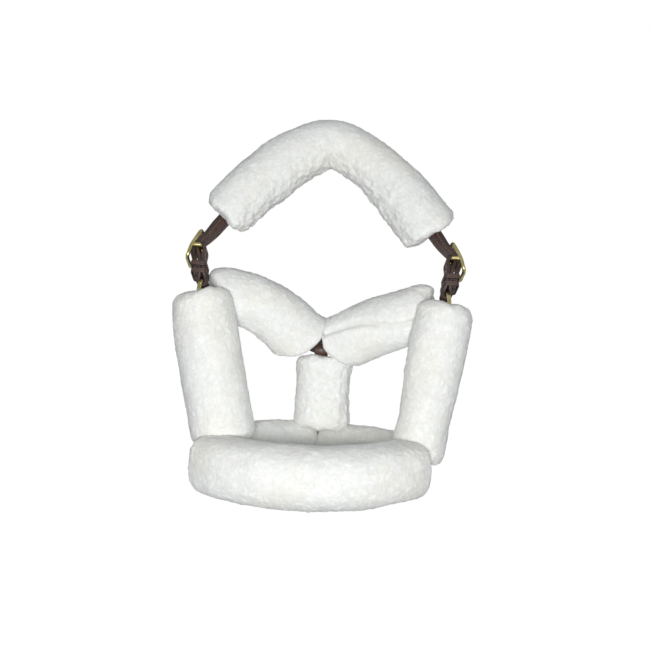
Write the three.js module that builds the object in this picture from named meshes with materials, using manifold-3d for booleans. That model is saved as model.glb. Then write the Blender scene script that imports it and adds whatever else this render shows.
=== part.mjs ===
// A stable headcollar of leather straps in fleece sleeves, with brass buckles and rings.
// Millimetres, +Z up, the wearer's nose towards -Y. The origin is the poll seat: the middle
// of the underside of the headpiece sleeve, where the headcollar hangs on the head.
import * as THREE from "three";
import { mergeVertices } from "three/addons/utils/BufferGeometryUtils.js";
import Module from "manifold-3d";

const wasm = await Module();
wasm.setup();

// ---------------------------------------------------------------- driving dimensions

// Centres of the rings, right-hand side. The left side has the same places at -X.
const CHEEK_RING = [148, -100, -172];
const NOSE_RING = [118, -120, -362];
const LEAD_RING = [0, -46, -362];
const THROAT_LOW = [0, -35, -232]; // where the throat strap passes through the jaw strap's loop

// Rings: round wire, and the eyes that the straps turn on.
const RING_R = 20.5;
const WIRE_R = 2.5;
const EYE_BORE_R = 3.4;
const EYE_OUTER_R = 6.6;
const EYE_WIDTH = 17;

// Straps: doubled and stitched leather.
const STRAP_WIDTH = 25;
const STRAP_THICK = 6;
const HEAD_THICK = 5;
const CHAPE_THICK = 9;
const EYE_TAPER = 16; // length over which a strap narrows to its eye

// Sleeves: fleece tubes with a slot for the strap and its closure strip.
const CROWN_R = 33; // over the poll
const CROWN_SWELL = 5; // and fuller towards its ends
const CROWN_ROUND = 6; // the rounding at its ends
const CROWN_REACH = 176; // half of its length along the strap
const CHEEK_R = 35;
const THROAT_R = 31;
const JAW_R = 34;
const NOSE_R = 34;
const CHIN_R = 31;
const SLOT_SPARE = 0.7; // between the strap, the closure and the slot
const CLOSURE_THICK = 1.6;
const CLOSURE_WIDTH = 20;

// Whole buckle: a frame with a dropped centre bar.
const BAR = [153.5, 63]; // centre bar in the headpiece plane: distance from the middle, height
const FRAME_TOP = [154.2, 84.2];
const FRAME_LOW = [168, 47];
const FRAME_MID_X = 163.6;
const FRAME_LEAN = (FRAME_LOW[0] - FRAME_TOP[0]) / (FRAME_TOP[1] - FRAME_LOW[1]);
const RAIL_W = 17;
const FRAME_WIRE_R = 2.2;
const BAR_R = 2;
const BAR_EYE_R = 7;
const BAR_HOLE_R = 2.5;
const TONGUE_WIDTH = 4;
const TONGUE_GAP = 6; // the slit in the chape for the tongue

// Keepers: flat leather loops round the chape and the tail.
const KEEPER_HEIGHT = 6;
const KEEPER_WALL = 2;
const FIXED_KEEPER_T = 40.5;
const RUNNING_KEEPER_T = 30.5;

// The headpiece lies in one plane, which leans back from the cheek rings to the poll.
const CROWN_RISE = 33; // the strap over the poll, above the origin
const HEAD_TILT = Math.atan2(-CHEEK_RING[1], CROWN_RISE - CHEEK_RING[2]);
const CROWN_T = Math.hypot(CHEEK_RING[1], CROWN_RISE - CHEEK_RING[2]);

// ---------------------------------------------------------------- small tools

const v3 = (x, y, z) => new THREE.Vector3(x, y, z);
const at = (place, side = 1) => v3(side * place[0], place[1], place[2]);

// A closed mesh from corner points and triangles, turned so that its faces point out.
function closed(points, triangles) {
  const geometry = new THREE.BufferGeometry();
  let volume = 0;
  for (const [a, b, c] of triangles) {
    volume += points[a].dot(points[b].clone().cross(points[c]));
  }
  const faces = volume < 0 ? triangles.map(([a, b, c]) => [a, c, b]) : triangles;
  geometry.setAttribute("position", new THREE.Float32BufferAttribute(points.flatMap((p) => p.toArray()), 3));
  geometry.setIndex(faces.flat());
  return geometry;
}

function solid(geometry) {
  const bare = geometry.clone();
  bare.deleteAttribute("normal");
  bare.deleteAttribute("uv");
  const merged = mergeVertices(bare, 1e-4);
  return new wasm.Manifold(
    new wasm.Mesh({
      numProp: 3,
      vertProperties: merged.attributes.position.array,
      triVerts: new Uint32Array(merged.index.array),
    }),
  );
}

function geometryOf(made) {
  const mesh = made.getMesh();
  const geometry = new THREE.BufferGeometry();
  geometry.setAttribute("position", new THREE.Float32BufferAttribute(mesh.vertProperties, 3));
  geometry.setIndex([...mesh.triVerts]);
  return geometry;
}

// A smooth route through the points, with its length along each step.
function route(points, steps = 240) {
  const curve = new THREE.CatmullRomCurve3(points, false, "centripetal");
  const line = curve.getPoints(steps);
  const along = [0];
  for (let i = 1; i < line.length; i++) along.push(along[i - 1] + line[i].distanceTo(line[i - 1]));
  return { line, along, length: along[along.length - 1] };
}

function pointAt(path, s) {
  const want = THREE.MathUtils.clamp(s, 0, path.length);
  let i = 1;
  while (i < path.along.length - 1 && path.along[i] < want) i++;
  const share = (want - path.along[i - 1]) / (path.along[i] - path.along[i - 1]);
  return path.line[i - 1].clone().lerp(path.line[i], share);
}

// The frame of a section at distance s: along the route, across the strap, and off its face.
function sectionAt(path, s, across) {
  const step = 0.6;
  const centre = pointAt(path, s);
  const along = pointAt(path, s + step).sub(pointAt(path, s - step)).normalize();
  const wide = across(s / path.length).clone();
  wide.addScaledVector(along, -wide.dot(along)).normalize();
  return { centre, along, wide, off: along.clone().cross(wide) };
}

const place = (f, w, n, t = 0) =>
  f.centre.clone().addScaledVector(f.wide, w).addScaledVector(f.off, n).addScaledVector(f.along, t);

function stations(from, to, step) {
  const count = Math.max(1, Math.round((to - from) / step));
  return Array.from({ length: count + 1 }, (_, i) => from + ((to - from) * i) / count);
}

// ---------------------------------------------------------------- straps

// A flat strap along a route, from one distance to another. width is a function of distance.
function strap(path, across, { from = 0, to = path.length, width, thick, step = 9, off = 0, ends = EYE_TAPER }) {
  const corners = [];
  const faces = [];
  const middle = stations(from + ends, to - ends, step);
  const places = [from, from + ends / 2, ...middle, to - ends / 2, to];
  for (const s of places) {
    const f = sectionAt(path, s, across);
    const w = width(s) / 2;
    for (const [a, b] of [[-1, -1], [1, -1], [1, 1], [-1, 1]]) {
      corners.push(place(f, a * w, off + (b * thick) / 2));
    }
  }
  for (let i = 0; i + 1 < places.length; i++) {
    for (let k = 0; k < 4; k++) {
      const a = 4 * i + k;
      const b = 4 * i + ((k + 1) % 4);
      faces.push([a, b, b + 4], [a, b + 4, a + 4]);
    }
  }
  const last = 4 * (places.length - 1);
  faces.push([0, 2, 1], [0, 3, 2], [last, last + 1, last + 2], [last, last + 2, last + 3]);
  return closed(corners, faces);
}

// Full width along the strap, narrowing to an eye's width at the ends that have one.
function narrowed(length, start, end) {
  return (s) => {
    const room = Math.min(start ? s : EYE_TAPER, end ? length - s : EYE_TAPER);
    const share = THREE.MathUtils.smoothstep(room, 4, EYE_TAPER);
    return EYE_WIDTH + (STRAP_WIDTH - EYE_WIDTH) * share;
  };
}

// A cylinder centred on a point, with its axis along a direction.
function roller(centre, axis, radius, width, sides = 20) {
  const geometry = new THREE.CylinderGeometry(radius, radius, width, sides);
  geometry.applyQuaternion(new THREE.Quaternion().setFromUnitVectors(v3(0, 1, 0), axis));
  return geometry.translate(...centre.toArray());
}

// A strap with an eye folded round the wire of each ring. An eye is { centre, axis, bore },
// and its bore is a fatter copy of the ring, so the strap can slide round it.
function withEyes(made, eyes) {
  let result = made;
  for (const e of eyes) result = result.add(solid(roller(e.centre, e.axis, EYE_OUTER_R, EYE_WIDTH, 16)));
  for (const e of eyes) result = result.subtract(solid(e.bore));
  return result;
}

function block(low, high) {
  const size = high.map((h, i) => h - low[i]);
  const middle = high.map((h, i) => (h + low[i]) / 2);
  return new THREE.BoxGeometry(...size).translate(...middle);
}

// ---------------------------------------------------------------- sleeves

// The slot's outline as pairs of shares of its half width and of its lower or upper reach.
const SLOT_OUTLINE = [
  [1, 0], [1, 1], [0.4, 1], [0, 1], [-0.4, 1], [-1, 1],
  [-1, 0], [-1, -1], [-0.4, -1], [0, -1], [0.4, -1], [1, -1],
];

// A fleece tube with a slot through it. radius is a function of the share of its length;
// lean shifts each end along the route in proportion to the distance off the strap's face
// or, with leanWide, across it, which makes a mitred end.
function sleeve(path, across, options) {
  const { from, to, radius, thick, step = 13, flip = 1 } = options;
  const { startLean = [0, 0], endLean = [0, 0] } = options;
  const corners = [];
  const faces = [];
  const places = stations(from, to, step);
  const count = SLOT_OUTLINE.length;
  const low = thick / 2 + SLOT_SPARE;
  const high = low + CLOSURE_THICK + SLOT_SPARE;
  places.forEach((s, i) => {
    const f = sectionAt(path, s, across);
    const r = radius(i / (places.length - 1));
    const lean = i === 0 ? startLean : i === places.length - 1 ? endLean : [0, 0];
    const put = (w, n) => corners.push(place(f, w, n, lean[0] * w + lean[1] * n));
    for (let k = 0; k < count; k++) {
      const angle = (2 * Math.PI * k) / count;
      put(r * Math.cos(angle), r * Math.sin(angle));
    }
    for (const [a, b] of SLOT_OUTLINE) {
      const reach = b * flip > 0 ? high : low;
      put(a * (STRAP_WIDTH / 2 + SLOT_SPARE), b * reach);
    }
  });
  const ring = 2 * count;
  for (let i = 0; i + 1 < places.length; i++) {
    for (let k = 0; k < count; k++) {
      const a = ring * i + k;
      const b = ring * i + ((k + 1) % count);
      faces.push([a, b, b + ring], [a, b + ring, a + ring]);
      const c = a + count;
      const d = b + count;
      faces.push([d, c, d + ring], [c, c + ring, d + ring]);
    }
  }
  const last = ring * (places.length - 1);
  for (let k = 0; k < count; k++) {
    const n = (k + 1) % count;
    faces.push([n, k, k + count], [n, k + count, n + count]);
    faces.push([last + k, last + n, last + k + count], [last + n, last + n + count, last + k + count]);
  }
  return closed(corners, faces);
}

// A hook-and-loop strip that lies in the slot beside the strap and closes the sleeve on it.
function closure(path, across, { from, to, thick, step = 13, flip = 1, wide = CLOSURE_WIDTH }) {
  const off = flip * (thick / 2 + SLOT_SPARE + CLOSURE_THICK / 2);
  const inset = 6;
  const span = { from: from + inset, to: to - inset, ends: step };
  return strap(path, across, { ...span, width: () => wide, thick: CLOSURE_THICK, step, off });
}

// Full radius along the tube and smaller at its ends, where it meets its neighbours.
const rounded = (full, start, end, share = 0.22) => (u) => {
  const head = THREE.MathUtils.smoothstep(u, -0.02, share);
  const tail = THREE.MathUtils.smoothstep(1 - u, -0.02, share);
  return Math.min(start + (full - start) * head, end + (full - end) * tail);
};

// ---------------------------------------------------------------- rings

// A ring of wire whose section is an octagon with flats facing along the ring's axis.
// facing is "X" or "Y", and thick is half the width of the wire across its flats.
function ring(facing, centre, thick = WIRE_R) {
  const section = [];
  const corner = thick / Math.cos(Math.PI / 8);
  for (let k = 0; k <= 8; k++) {
    const angle = (Math.PI / 4) * (k + 0.5);
    section.push(new THREE.Vector2(RING_R + corner * Math.cos(angle), corner * Math.sin(angle)));
  }
  section[8].copy(section[0]);
  const geometry = new THREE.LatheGeometry(section, 24);
  if (facing === "X") geometry.rotateZ(Math.PI / 2);
  return geometry.translate(...centre.toArray());
}

const bore = (facing, centre) => ring(facing, centre, EYE_BORE_R);

// ---------------------------------------------------------------- routes of the straps

const Y = v3(0, 1, 0);
const X = v3(1, 0, 0);
const Z = v3(0, 0, 1);
const fixed = (direction) => () => direction;

// The headpiece strap, in its plane: X across, Z up the plane from the cheek rings.
function headpieceRoute() {
  const half = [
    [156.4, 26], [158.3, 41], [161.2, 50.5], [163.3, 56.5], [164, 63], [161.2, 69.7], [155.6, 75.2],
    [149.8, 80.8], [143, 90], [135, 102], [109, 138.5], [80, 175], [42, 210],
  ];
  const right = half.map(([x, t]) => v3(x, 0, t));
  const left = half.map(([x, t]) => v3(-x, 0, t)).reverse();
  return route([...right, v3(0, 0, CROWN_T), ...left], 900);
}

const CHEEK_DOWN = at(NOSE_RING).sub(at(CHEEK_RING)).setX(0).normalize();

function cheekRoute(side) {
  const top = at(CHEEK_RING, side).addScaledVector(CHEEK_DOWN, RING_R);
  const low = at(NOSE_RING, side).addScaledVector(CHEEK_DOWN, -RING_R);
  return route([top, top.clone().lerp(low, 0.5), low]);
}

const cheekAcross = fixed(CHEEK_DOWN.clone().cross(X).normalize());

// The throat strap leaves each cheek ring towards the back and hangs in a V under the jaw.
const THROAT_LEAVE = THREE.MathUtils.degToRad(-8);
const throatEye = (side) =>
  at(CHEEK_RING, side).add(v3(0, RING_R * Math.cos(THROAT_LEAVE), RING_R * Math.sin(THROAT_LEAVE)));
const THROAT_RIGHT = [[125, -72, -176], [97, -61, -188], [66, -51, -201], [27, -39, -222]];
const THROAT_LEFT = [[-124, -71, -169], [-95, -61, -174], [-62, -50, -191], [-26, -39, -222]];

function throatRoute() {
  const right = THROAT_RIGHT.map((p) => at(p));
  const left = THROAT_LEFT.map((p) => at(p)).reverse();
  return route([throatEye(1), ...right, at(THROAT_LOW), ...left, throatEye(-1)], 600);
}

const THROAT_WIDE_SIDE = v3(0, -Math.sin(THROAT_LEAVE), Math.cos(THROAT_LEAVE));
const THROAT_WIDE_LOW = v3(0, 0.94, 0.34).normalize();

function throatAcross(share) {
  const toMiddle = 1 - Math.abs(2 * share - 1);
  const turn = THREE.MathUtils.smoothstep(toMiddle, 0.08, 0.9);
  return THROAT_WIDE_SIDE.clone().lerp(THROAT_WIDE_LOW, turn);
}

function jawRoute() {
  const low = at(LEAD_RING).add(v3(0, 0, RING_R));
  return route([v3(0, -33, -238), v3(0, -36, -254), v3(0, -44, -318), low]);
}

// The noseband and the chin straps follow an oval through the rings.
const MUZZLE_A = NOSE_RING[0];
const MUZZLE_B = LEAD_RING[1] - NOSE_RING[1];

function muzzle(degrees) {
  const angle = THREE.MathUtils.degToRad(degrees);
  return v3(MUZZLE_A * Math.cos(angle), NOSE_RING[1] + MUZZLE_B * Math.sin(angle), NOSE_RING[2]);
}

function nosebandRoute() {
  const start = at(NOSE_RING).add(v3(0, -RING_R, 0));
  const end = at(NOSE_RING, -1).add(v3(0, -RING_R, 0));
  const front = [-33, -50, -70, -90, -110, -130, -147].map(muzzle);
  return route([start, ...front, end], 500);
}

function chinRoute(side) {
  const start = at(NOSE_RING).add(v3(0, RING_R, 0));
  const end = at(LEAD_RING).add(v3(RING_R, 0, 0));
  const points = [start, ...[33, 50, 66].map(muzzle), end];
  for (const p of points) p.x *= side;
  return route(points);
}

// ---------------------------------------------------------------- materials

const looks = {
  fleece: { color: 0xf1f0ea, roughness: 0.95, metalness: 0 },
  leather: { color: 0x4a332c, roughness: 0.55, metalness: 0 },
  brass: { color: 0xc2a55a, roughness: 0.3, metalness: 1 },
  closure: { color: 0xe6e4dc, roughness: 0.9, metalness: 0 },
};
for (const [name, look] of Object.entries(looks)) looks[name] = new THREE.MeshStandardMaterial(look);

const model = new THREE.Group();

function add(name, geometry, material, parent = model) {
  const mesh = new THREE.Mesh(geometry, looks[material]);
  mesh.name = name;
  parent.add(mesh);
  return mesh;
}

const sides = [["left", -1], ["right", 1]];

// ---------------------------------------------------------------- headpiece and its hangers

// Everything here is drawn in the headpiece's plane: X across, Y wide, Z up the plane.
const headPlane = new THREE.Group();
headPlane.position.set(0, CHEEK_RING[1], CHEEK_RING[2]);
headPlane.rotation.x = -HEAD_TILT;
model.add(headPlane);

function addHeadpiece() {
  const path = headpieceRoute();
  const tip = 9;
  const width = (s) => {
    const room = Math.min(s, path.length - s);
    return room >= tip ? STRAP_WIDTH : 12 + (STRAP_WIDTH - 12) * Math.sqrt(room / tip);
  };
  let made = solid(strap(path, fixed(Y), { width, thick: HEAD_THICK, step: 7.9, ends: tip / 2 }));
  for (const [, side] of sides) {
    const low = [Math.min(side * 145, side * 170), -TONGUE_GAP / 2, BAR[1] + 4];
    const high = [Math.max(side * 145, side * 170), TONGUE_GAP / 2, BAR[1] + 18];
    made = made.subtract(solid(block(low, high)));
  }
  add("headpiece_strap", geometryOf(made), "leather", headPlane);

  const start = path.length / 2 - CROWN_REACH;
  const end = path.length / 2 + CROWN_REACH;
  const span = { from: start, to: end, thick: HEAD_THICK };
  const radius = (u) => {
    const out = Math.abs(2 * u - 1);
    const swell = CROWN_SWELL * THREE.MathUtils.smoothstep(out, 0.1, 0.7);
    return CROWN_R + swell - CROWN_ROUND * THREE.MathUtils.smoothstep(out, 0.85, 1);
  };
  add("headpiece_sleeve", sleeve(path, fixed(Y), { ...span, radius, step: 16 }), "fleece", headPlane);
  add("headpiece_closure", closure(path, fixed(Y), span), "closure", headPlane);
}

// The chape: a short folded strap from the cheek ring up to the buckle's centre bar.
function chape(side) {
  const low = v3(side * CHEEK_RING[0], 0, RING_R);
  const high = v3(side * BAR[0], 0, BAR[1]);
  const path = route([low, low.clone().lerp(high, 0.5), high]);
  const width = narrowed(path.length, true, false);
  const eye = { centre: low, axis: Y, bore: bore("X", v3(low.x, 0, 0)) };
  let made = withEyes(solid(strap(path, fixed(Y), { width, thick: CHAPE_THICK })), [eye]);
  made = made.add(solid(roller(high, Y, BAR_EYE_R, STRAP_WIDTH)));
  made = made.subtract(solid(roller(high, Y, BAR_HOLE_R, 2 * STRAP_WIDTH, 12)));
  const slit = [[high.x - 12, -TONGUE_GAP / 2, BAR[1] - 9], [high.x + 12, TONGUE_GAP / 2, BAR[1] + 12]];
  return geometryOf(made.subtract(solid(block(...slit))));
}

// A round bar between two points.
function bar(a, b, radius, sides = 8) {
  const line = b.clone().sub(a);
  const middle = a.clone().add(b).multiplyScalar(0.5);
  return roller(middle, line.clone().normalize(), radius, line.length(), sides);
}

// A closed loop of round wire through the points, with its sections square to the loop.
function wireLoop(points, radius, count = 32, facets = 6) {
  const curve = new THREE.CatmullRomCurve3(points, true, "centripetal");
  const corners = [];
  const faces = [];
  for (let i = 0; i < count; i++) {
    const centre = curve.getPoint(i / count);
    const along = curve.getTangent(i / count);
    const off = X.clone().addScaledVector(along, -along.x).normalize();
    const wide = along.clone().cross(off);
    for (let k = 0; k < facets; k++) {
      const angle = (2 * Math.PI * (k + 0.5)) / facets;
      const c = centre.clone().addScaledVector(off, radius * Math.cos(angle));
      corners.push(c.addScaledVector(wide, radius * Math.sin(angle)));
      const j = (i + 1) % count;
      const n = (k + 1) % facets;
      faces.push([i * facets + k, i * facets + n, j * facets + n]);
      faces.push([i * facets + k, j * facets + n, j * facets + k]);
    }
  }
  return closed(corners, faces);
}

// The buckle's frame: an oblong loop bowed outwards, and a centre bar dropped on two lugs.
function buckleFrame(side) {
  const put = (x, w, t) => v3(side * x, w, t);
  const [topX, topT] = FRAME_TOP;
  const [lowX, lowT] = FRAME_LOW;
  const inner = RAIL_W - 6;
  const round = 5; // the rounding of its corners
  const end = (x, t, way) => [-1, 0, 1].map((k) => put(x, way * k * inner, t));
  const rail = (w) => [
    put(topX + round * FRAME_LEAN, w, topT - round),
    put(FRAME_MID_X, w, BAR[1]),
    put(lowX - round * FRAME_LEAN, w, lowT + round),
  ];
  const loop = [...end(topX, topT, 1), ...rail(RAIL_W), ...end(lowX, lowT, -1), ...rail(-RAIL_W).reverse()];
  let made = solid(wireLoop(loop, FRAME_WIRE_R));
  for (const w of [-RAIL_W, RAIL_W]) {
    made = made.add(solid(bar(put(FRAME_MID_X, w, BAR[1]), put(BAR[0] - 1.5, w, BAR[1]), FRAME_WIRE_R)));
  }
  made = made.add(solid(bar(put(BAR[0], -RAIL_W, BAR[1]), put(BAR[0], RAIL_W, BAR[1]), BAR_R)));
  return geometryOf(made);
}

// The tongue: an eye on the centre bar and a prong whose tip lies over the frame's top bar.
function tongue(side) {
  const [barX, barT] = BAR;
  const eye = v3(side * barX, 0, barT);
  const prong = [[barX + 0.5, barT + 2], [156, barT + 13], [158.1, barT + 23.3], [155.4, barT + 28.5]];
  const path = route(prong.map(([x, t]) => v3(side * x, 0, t)));
  const width = () => TONGUE_WIDTH;
  let made = solid(strap(path, fixed(Y), { width, thick: 3, step: 4, ends: 3 }));
  made = made.add(solid(roller(eye, Y, BAR_R + 2.2, TONGUE_WIDTH, 16)));
  made = made.subtract(solid(roller(eye, Y, BAR_R + 0.4, 3 * TONGUE_WIDTH, 16)));
  return geometryOf(made);
}

// A keeper: a flat loop round the chape and the tail, at height t up the headpiece's plane.
function keeper(side, t) {
  const lean = (BAR[0] - CHEEK_RING[0]) / (BAR[1] - RING_R);
  const chapeX = CHEEK_RING[0] + lean * (t - RING_R);
  const inner = { low: -CHAPE_THICK / 2 - 0.6, high: CHAPE_THICK / 2 + HEAD_THICK + 1.6, w: STRAP_WIDTH / 2 + 0.7 };
  const box = (grow, height) => {
    const a = side * (chapeX + inner.low - grow);
    const b = side * (chapeX + inner.high + grow);
    const w = inner.w + grow;
    return block([Math.min(a, b), -w, t - height / 2], [Math.max(a, b), w, t + height / 2]);
  };
  return geometryOf(solid(box(KEEPER_WALL, KEEPER_HEIGHT)).subtract(solid(box(0, 3 * KEEPER_HEIGHT))));
}

function addHanger(name, side) {
  add(name + "_chape", chape(side), "leather", headPlane);
  add(name + "_buckle_frame", buckleFrame(side), "brass", headPlane);
  add(name + "_buckle_tongue", tongue(side), "brass", headPlane);
  add(name + "_fixed_keeper", keeper(side, FIXED_KEEPER_T), "leather", headPlane);
  add(name + "_running_keeper", keeper(side, RUNNING_KEEPER_T), "leather", headPlane);
}

// ---------------------------------------------------------------- cheeks

function addCheek(name, side) {
  const path = cheekRoute(side);
  const width = narrowed(path.length, true, true);
  const body = solid(strap(path, cheekAcross, { width, thick: STRAP_THICK, step: 50 }));
  const axis = cheekAcross();
  const eyes = [
    { centre: pointAt(path, 0), axis, bore: bore("X", at(CHEEK_RING, side)) },
    { centre: pointAt(path, path.length), axis, bore: bore("X", at(NOSE_RING, side)) },
  ];
  add(name + "_cheek_strap", geometryOf(withEyes(body, eyes)), "leather");
  const span = { from: 12, to: path.length - 19, thick: STRAP_THICK, flip: side };
  const radius = rounded(CHEEK_R, 22, 25);
  add(name + "_cheek_sleeve", sleeve(path, cheekAcross, { ...span, radius }), "fleece");
  add(name + "_cheek_closure", closure(path, cheekAcross, span), "closure");
}

// ---------------------------------------------------------------- throat and jaw

function addThroat() {
  const path = throatRoute();
  const width = narrowed(path.length, true, true);
  const body = solid(strap(path, throatAcross, { width, thick: STRAP_THICK, step: 8 }));
  const eyes = [1, -1].map((side) => {
    return { centre: throatEye(side), axis: THROAT_WIDE_SIDE, bore: bore("X", at(CHEEK_RING, side)) };
  });
  add("throat_strap", geometryOf(withEyes(body, eyes)), "leather");
  const middle = path.length / 2;
  const reach = { inner: 19, outer: middle - 38 };
  for (const [name, side] of sides) {
    const ends = [middle - side * reach.outer, middle - side * reach.inner].sort((a, b) => a - b);
    const span = { from: ends[0], to: ends[1], thick: STRAP_THICK };
    const radius = side > 0 ? rounded(THROAT_R, 20, 21, 0.3) : rounded(THROAT_R, 21, 20, 0.3);
    add(name + "_throat_sleeve", sleeve(path, throatAcross, { ...span, radius, step: 11 }), "fleece");
    const strip = { ...span, thick: STRAP_THICK + 0.5, step: 8, wide: 12 };
    add(name + "_throat_closure", closure(path, throatAcross, strip), "closure");
  }
}

// The jaw strap's upper end is a long loop that the throat strap runs through, with room to tilt.
const LOOP_REACH = 11.6;
const LOOP_WALL = 3;
const LOOP_FOOT = [0, -31.2, -242.4];

function throatLoop() {
  const outline = (a, b) => {
    const shape = new THREE.Shape();
    const r = Math.min(b, 5);
    shape.moveTo(-a + r, -b).lineTo(a - r, -b).quadraticCurveTo(a, -b, a, -b + r);
    shape.lineTo(a, b - r).quadraticCurveTo(a, b, a - r, b);
    shape.lineTo(-a + r, b).quadraticCurveTo(-a, b, -a, b - r);
    shape.lineTo(-a, -b + r).quadraticCurveTo(-a, -b, -a + r, -b);
    return shape;
  };
  const shape = outline(17.5, LOOP_REACH);
  shape.holes.push(outline(14.2, LOOP_REACH - LOOP_WALL));
  const geometry = new THREE.ExtrudeGeometry(shape, { depth: EYE_WIDTH, bevelEnabled: false, curveSegments: 4 });
  geometry.translate(0, 0, -EYE_WIDTH / 2);
  const up = X.clone().cross(THROAT_WIDE_LOW);
  const basis = new THREE.Matrix4().makeBasis(THROAT_WIDE_LOW, up, X.clone().negate());
  if (basis.determinant() < 0) basis.makeBasis(THROAT_WIDE_LOW, up, X);
  return geometry.applyMatrix4(basis).translate(...THROAT_LOW);
}

function addJaw() {
  const path = jawRoute();
  const width = narrowed(path.length, true, true);
  let made = solid(strap(path, fixed(X), { width, thick: STRAP_THICK, step: 18 }));
  made = made.subtract(solid(block([-20, -60, LOOP_FOOT[2] - 1], [20, -10, -225])));
  const foot = [-1, 1].map((end) => v3((end * EYE_WIDTH) / 2, LOOP_FOOT[1], LOOP_FOOT[2]));
  made = made.add(solid(throatLoop())).add(solid(bar(...foot, 3)));
  const eye = { centre: pointAt(path, path.length), axis: X, bore: bore("Y", at(LEAD_RING)) };
  add("jaw_strap", geometryOf(withEyes(made, [eye])), "leather");
  const span = { from: 18, to: path.length - 17, thick: STRAP_THICK };
  add("jaw_sleeve", sleeve(path, fixed(X), { ...span, radius: rounded(JAW_R, 24, 27), step: 13 }), "fleece");
  add("jaw_closure", closure(path, fixed(X), span), "closure");
}

// ---------------------------------------------------------------- noseband and chin

function addNoseband() {
  const path = nosebandRoute();
  const width = narrowed(path.length, true, true);
  const body = solid(strap(path, fixed(Z), { width, thick: STRAP_THICK, step: 9 }));
  const eyes = [
    { centre: pointAt(path, 0), axis: Z, bore: bore("X", at(NOSE_RING)) },
    { centre: pointAt(path, path.length), axis: Z, bore: bore("X", at(NOSE_RING, -1)) },
  ];
  add("noseband_strap", geometryOf(withEyes(body, eyes)), "leather");
  const span = { from: 12, to: path.length - 12, thick: STRAP_THICK };
  const radius = rounded(NOSE_R, 24, 24, 0.16);
  add("noseband_sleeve", sleeve(path, fixed(Z), { ...span, radius, step: 14 }), "fleece");
  add("noseband_closure", closure(path, fixed(Z), span), "closure");
}

function addChin(name, side) {
  const path = chinRoute(side);
  const width = narrowed(path.length, true, true);
  const body = solid(strap(path, fixed(Z), { width, thick: STRAP_THICK, step: 9 }));
  const eyes = [
    { centre: pointAt(path, 0), axis: Z, bore: bore("X", at(NOSE_RING, side)) },
    { centre: pointAt(path, path.length), axis: Z, bore: bore("Y", at(LEAD_RING)) },
  ];
  add(name + "_chin_strap", geometryOf(withEyes(body, eyes)), "leather");
  const span = { from: 14, to: path.length - 12, thick: STRAP_THICK, flip: side };
  const endLean = [0, -side * 0.4];
  const radius = rounded(CHIN_R, 22, 28);
  add(name + "_chin_sleeve", sleeve(path, fixed(Z), { ...span, radius, endLean, step: 11 }), "fleece");
  add(name + "_chin_closure", closure(path, fixed(Z), span), "closure");
}

// ---------------------------------------------------------------- the whole headcollar

addHeadpiece();
addThroat();
addJaw();
addNoseband();
for (const [name, side] of sides) {
  addHanger(name, side);
  addCheek(name, side);
  addChin(name, side);
  add(name + "_cheek_ring", ring("X", at(CHEEK_RING, side)), "brass");
  add(name + "_noseband_ring", ring("X", at(NOSE_RING, side)), "brass");
}
add("lead_ring", ring("Y", at(LEAD_RING)), "brass");

export default model;
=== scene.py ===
"""The looks of a fleece-padded leather headcollar.

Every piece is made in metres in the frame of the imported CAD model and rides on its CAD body:
+Z up, the wearer's nose towards -Y, the origin at the poll seat under the headpiece.
"""

import itertools
import math

import bpy
import numpy as np
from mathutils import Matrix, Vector


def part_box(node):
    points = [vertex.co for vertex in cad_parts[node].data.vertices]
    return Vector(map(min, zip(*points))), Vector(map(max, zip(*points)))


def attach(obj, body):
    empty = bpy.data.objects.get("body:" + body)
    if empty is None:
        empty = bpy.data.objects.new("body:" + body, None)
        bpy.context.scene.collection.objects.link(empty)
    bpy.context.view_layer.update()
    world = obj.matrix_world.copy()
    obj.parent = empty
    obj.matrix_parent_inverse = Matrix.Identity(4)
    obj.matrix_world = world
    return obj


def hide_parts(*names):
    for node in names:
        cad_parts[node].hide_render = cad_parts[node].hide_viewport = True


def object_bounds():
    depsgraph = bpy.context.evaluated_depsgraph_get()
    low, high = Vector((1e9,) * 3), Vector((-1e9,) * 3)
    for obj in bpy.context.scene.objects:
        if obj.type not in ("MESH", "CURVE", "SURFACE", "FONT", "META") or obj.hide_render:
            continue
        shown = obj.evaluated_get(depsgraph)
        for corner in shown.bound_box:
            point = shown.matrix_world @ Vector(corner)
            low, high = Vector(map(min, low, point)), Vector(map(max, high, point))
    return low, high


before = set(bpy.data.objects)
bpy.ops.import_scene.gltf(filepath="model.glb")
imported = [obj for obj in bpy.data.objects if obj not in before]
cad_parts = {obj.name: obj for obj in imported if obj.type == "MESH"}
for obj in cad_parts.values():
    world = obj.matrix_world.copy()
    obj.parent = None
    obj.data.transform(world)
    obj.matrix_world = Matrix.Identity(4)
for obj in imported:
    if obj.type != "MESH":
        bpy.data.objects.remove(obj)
CAD_BOX = [list(corner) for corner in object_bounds()]
MM = 0.001
SIDES = (("left", -1), ("right", 1))

# ---- camera

VIEW_TARGET = Vector((0.003, -0.085, -0.198))
VIEW_DISTANCE = 0.9
VIEW_ELEVATION = math.radians(4.5)
VIEW_ROLL = math.radians(3)
VIEW_LENS = 40.6


def add_object(name, data):
    obj = bpy.data.objects.new(name, data)
    bpy.context.scene.collection.objects.link(obj)
    return obj


def add_camera():
    data = bpy.data.cameras.new("camera")
    data.lens = VIEW_LENS
    data.sensor_width = 36
    camera = add_object("camera", data)
    back = Vector((0, -math.cos(VIEW_ELEVATION), math.sin(VIEW_ELEVATION)))
    camera.location = VIEW_TARGET + back * VIEW_DISTANCE
    camera.rotation_euler = back.to_track_quat("Z", "Y").to_euler()
    camera.rotation_euler.rotate_axis("Z", VIEW_ROLL)
    bpy.context.scene.camera = camera


# ---- places from the frame


def centre_of(node):
    low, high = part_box(node)
    return np.array((low + high) / 2)


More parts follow.
